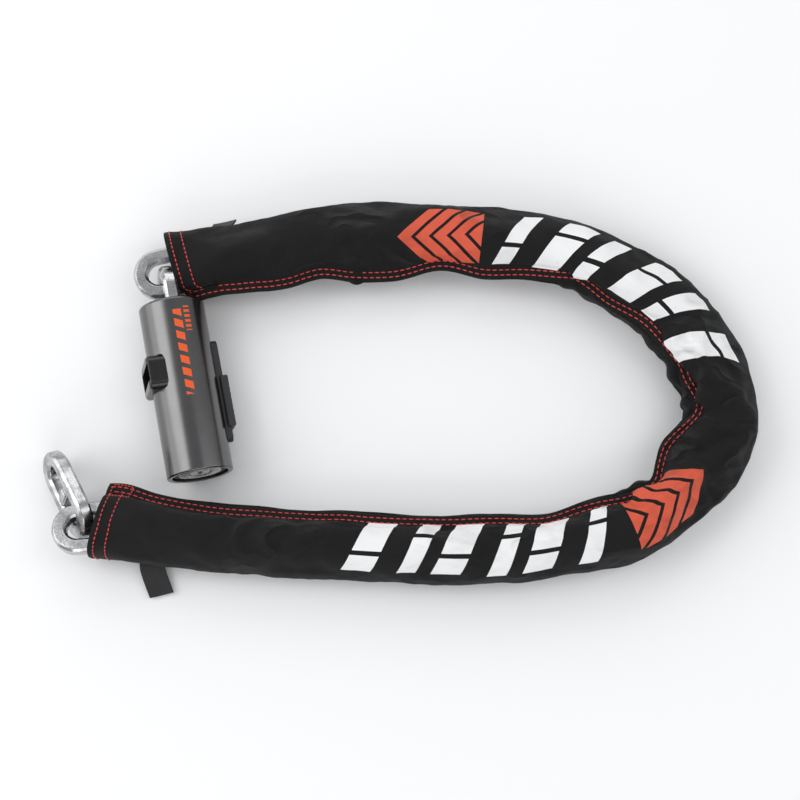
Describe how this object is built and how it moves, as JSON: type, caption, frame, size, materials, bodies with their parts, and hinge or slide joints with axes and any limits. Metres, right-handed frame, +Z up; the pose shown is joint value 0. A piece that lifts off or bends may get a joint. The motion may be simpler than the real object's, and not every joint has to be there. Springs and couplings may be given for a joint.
{
  "type": "chain lock",
  "caption": "Barrel lock on a square-link security chain in a woven sleeve; the far end link pushes into the lock's port and a slide bolt holds it.",
  "frame": {"origin": "centre of the bounding box, on the surface the chain lies on", "axes": "+X along the longest side of the lying chain, towards its bend; +Z up from the surface"},
  "size_m": [0.495, 0.2818, 0.0493],
  "materials": {
    "zinc_steel": "bright zinc plated, slightly mottled",
    "hardened_steel": "machined",
    "black_chrome": "polished dark chrome with printed orange bars",
    "black_enamel": "gloss",
    "black_plastic": "fine moulded texture",
    "nickel_brass": "nickel plated",
    "woven_nylon": "tight plain weave with red stitching and printed chevrons and bars",
    "webbing": "ribbed webbing"
  },
  "bodies": {
    "lock": {"barrel": "black_chrome", "port_collar": "black_enamel", "top_plug": "hardened_steel", "anchor_link": "zinc_steel", "anchor_pin": "hardened_steel", "bolt_guide": "hardened_steel", "bolt_spring": "hardened_steel", "slide_rail": "black_plastic", "lock_cylinder": "nickel_brass", "cylinder_ring": "black_plastic", "face_disc": "zinc_steel"},
    "bolt": {"locking_bolt": "hardened_steel", "bolt_carrier": "hardened_steel", "slide_knob": "black_plastic"},
    "key_plug": {"key_plug": "zinc_steel", "key_cam": "hardened_steel"},
    "link_01": {"link_01": "zinc_steel"},
    "link_02": {"link_02": "zinc_steel", "sleeve_01": "woven_nylon", "strap_upper": "webbing"},
    "link_03": {"link_03": "zinc_steel"},
    "link_04": {"link_04": "zinc_steel", "sleeve_02": "woven_nylon"},
    "link_05": {"link_05": "zinc_steel"},
    "link_06": {"link_06": "zinc_steel", "sleeve_03": "woven_nylon"},
    "link_07": {"link_07": "zinc_steel"},
    "link_08": {"link_08": "zinc_steel", "sleeve_04": "woven_nylon"},
    "link_09": {"link_09": "zinc_steel"},
    "link_10": {"link_10": "zinc_steel", "sleeve_05": "woven_nylon"},
    "link_11": {"link_11": "zinc_steel"},
    "link_12": {"link_12": "zinc_steel", "sleeve_06": "woven_nylon"},
    "link_13": {"link_13": "zinc_steel"},
    "link_14": {"link_14": "zinc_steel", "sleeve_07": "woven_nylon"},
    "link_15": {"link_15": "zinc_steel"},
    "link_16": {"link_16": "zinc_steel", "sleeve_08": "woven_nylon"},
    "link_17": {"link_17": "zinc_steel"},
    "link_18": {"link_18": "zinc_steel", "sleeve_09": "woven_nylon"},
    "link_19": {"link_19": "zinc_steel"},
    "link_20": {"link_20": "zinc_steel", "sleeve_10": "woven_nylon", "strap_lower": "webbing"},
    "link_21": {"link_21": "zinc_steel"},
    "end_link": {"end_link": "zinc_steel"}
  },
  "joints": [
    {"name": "barrel_swing", "type": "hinge", "parent": "lock", "child": "link_01", "pos_m": [-0.16406, 0.08654, 0.02436], "axis": [0, 0, -1], "range_deg": [-22, 8]},
    {"name": "bolt_slide", "type": "slide", "parent": "lock", "child": "bolt", "axis": [-0.1968, 0.9804, 0], "range_m": [0, 0.02], "stiffness_N_per_m": 150, "springref_m": -0.01, "deforming": ["bolt_spring"]},
    {"name": "key_turn", "type": "hinge", "parent": "lock", "child": "key_plug", "pos_m": [-0.13581, -0.05415, 0.02436], "axis": [0.1968, -0.9804, 0], "range_deg": [0, 90]},
    {"name": "link_02_bend", "type": "hinge", "parent": "link_01", "child": "link_02", "pos_m": [-0.13684, 0.09416, 0.02386], "axis": [0, 0, -1], "range_deg": [-30, 2], "deforming": ["sleeve_01"]},
    {"name": "link_03_bend", "type": "hinge", "parent": "link_02", "child": "link_03", "pos_m": [-0.08061, 0.10665, 0.02386], "axis": [0, 0, 1], "range_deg": [-2, 30]},
    {"name": "link_04_bend", "type": "hinge", "parent": "link_03", "child": "link_04", "pos_m": [-0.04801, 0.11293, 0.02386], "axis": [0, 0, -1], "range_deg": [-30, 2], "deforming": ["sleeve_02"]},
    {"name": "link_05_bend", "type": "hinge", "parent": "link_04", "child": "link_05", "pos_m": [0.00949, 0.11624, 0.02386], "axis": [0, 0, 1], "range_deg": [-2, 30]},
    {"name": "link_06_bend", "type": "hinge", "parent": "link_05", "child": "link_06", "pos_m": [0.04269, 0.11552, 0.02386], "axis": [0, 0, -1], "range_deg": [-30, 2], "deforming": ["sleeve_03"]},
    {"name": "link_07_bend", "type": "hinge", "parent": "link_06", "child": "link_07", "pos_m": [0.0997, 0.10734, 0.02386], "axis": [0, 0, 1], "range_deg": [-2, 30]},
    {"name": "link_08_bend", "type": "hinge", "parent": "link_07", "child": "link_08", "pos_m": [0.13121, 0.09687, 0.02386], "axis": [0, 0, -1], "range_deg": [-30, 2], "deforming": ["sleeve_04"]},
    {"name": "link_09_bend", "type": "hinge", "parent": "link_08", "child": "link_09", "pos_m": [0.18007, 0.06637, 0.02386], "axis": [0, 0, 1], "range_deg": [-2, 30]},
    {"name": "link_10_bend", "type": "hinge", "parent": "link_09", "child": "link_10", "pos_m": [0.202, 0.04145, 0.02386], "axis": [0, 0, -1], "range_deg": [-30, 2], "deforming": ["sleeve_05"]},
    {"name": "link_11_bend", "type": "hinge", "parent": "link_10", "child": "link_11", "pos_m": [0.22326, -0.01209, 0.02386], "axis": [0, 0, 1], "range_deg": [-2, 30]},
    {"name": "link_12_bend", "type": "hinge", "parent": "link_11", "child": "link_12", "pos_m": [0.21522, -0.0443, 0.02386], "axis": [0, 0, -1], "range_deg": [-30, 2], "deforming": ["sleeve_06"]},
    {"name": "link_13_bend", "type": "hinge", "parent": "link_12", "child": "link_13", "pos_m": [0.17347, -0.08398, 0.02386], "axis": [0, 0, 1], "range_deg": [-2, 30]},
    {"name": "link_14_bend", "type": "hinge", "parent": "link_13", "child": "link_14", "pos_m": [0.14295, -0.09704, 0.02386], "axis": [0, 0, -1], "range_deg": [-30, 2], "deforming": ["sleeve_07"]},
    {"name": "link_15_bend", "type": "hinge", "parent": "link_14", "child": "link_15", "pos_m": [0.0863, -0.10751, 0.02386], "axis": [0, 0, 1], "range_deg": [-2, 30]},
    {"name": "link_16_bend", "type": "hinge", "parent": "link_15", "child": "link_16", "pos_m": [0.05315, -0.1092, 0.02386], "axis": [0, 0, -1], "range_deg": [-30, 2], "deforming": ["sleeve_08"]},
    {"name": "link_17_bend", "type": "hinge", "parent": "link_16", "child": "link_17", "pos_m": [-0.00444, -0.10809, 0.02386], "axis": [0, 0, 1], "range_deg": [-2, 30]},
    {"name": "link_18_bend", "type": "hinge", "parent": "link_17", "child": "link_18", "pos_m": [-0.03759, -0.10619, 0.02386], "axis": [0, 0, -1], "range_deg": [-30, 2], "deforming": ["sleeve_09"]},
    {"name": "link_19_bend", "type": "hinge", "parent": "link_18", "child": "link_19", "pos_m": [-0.09502, -0.10183, 0.02386], "axis": [0, 0, 1], "range_deg": [-2, 30]},
    {"name": "link_20_bend", "type": "hinge", "parent": "link_19", "child": "link_20", "pos_m": [-0.12814, -0.09954, 0.02386], "axis": [0, 0, -1], "range_deg": [-30, 2], "deforming": ["sleeve_10"]},
    {"name": "link_21_bend", "type": "hinge", "parent": "link_20", "child": "link_21", "pos_m": [-0.18532, -0.09259, 0.02386], "axis": [0, 0, 1], "range_deg": [-2, 6]},
    {"name": "end_link_swing", "type": "hinge", "parent": "link_21", "child": "end_link", "pos_m": [-0.21342, -0.09496, 0.02386], "axis": [-0.0203, 0.2411, 0.9703], "range_deg": [-5, 40]}
  ]
}
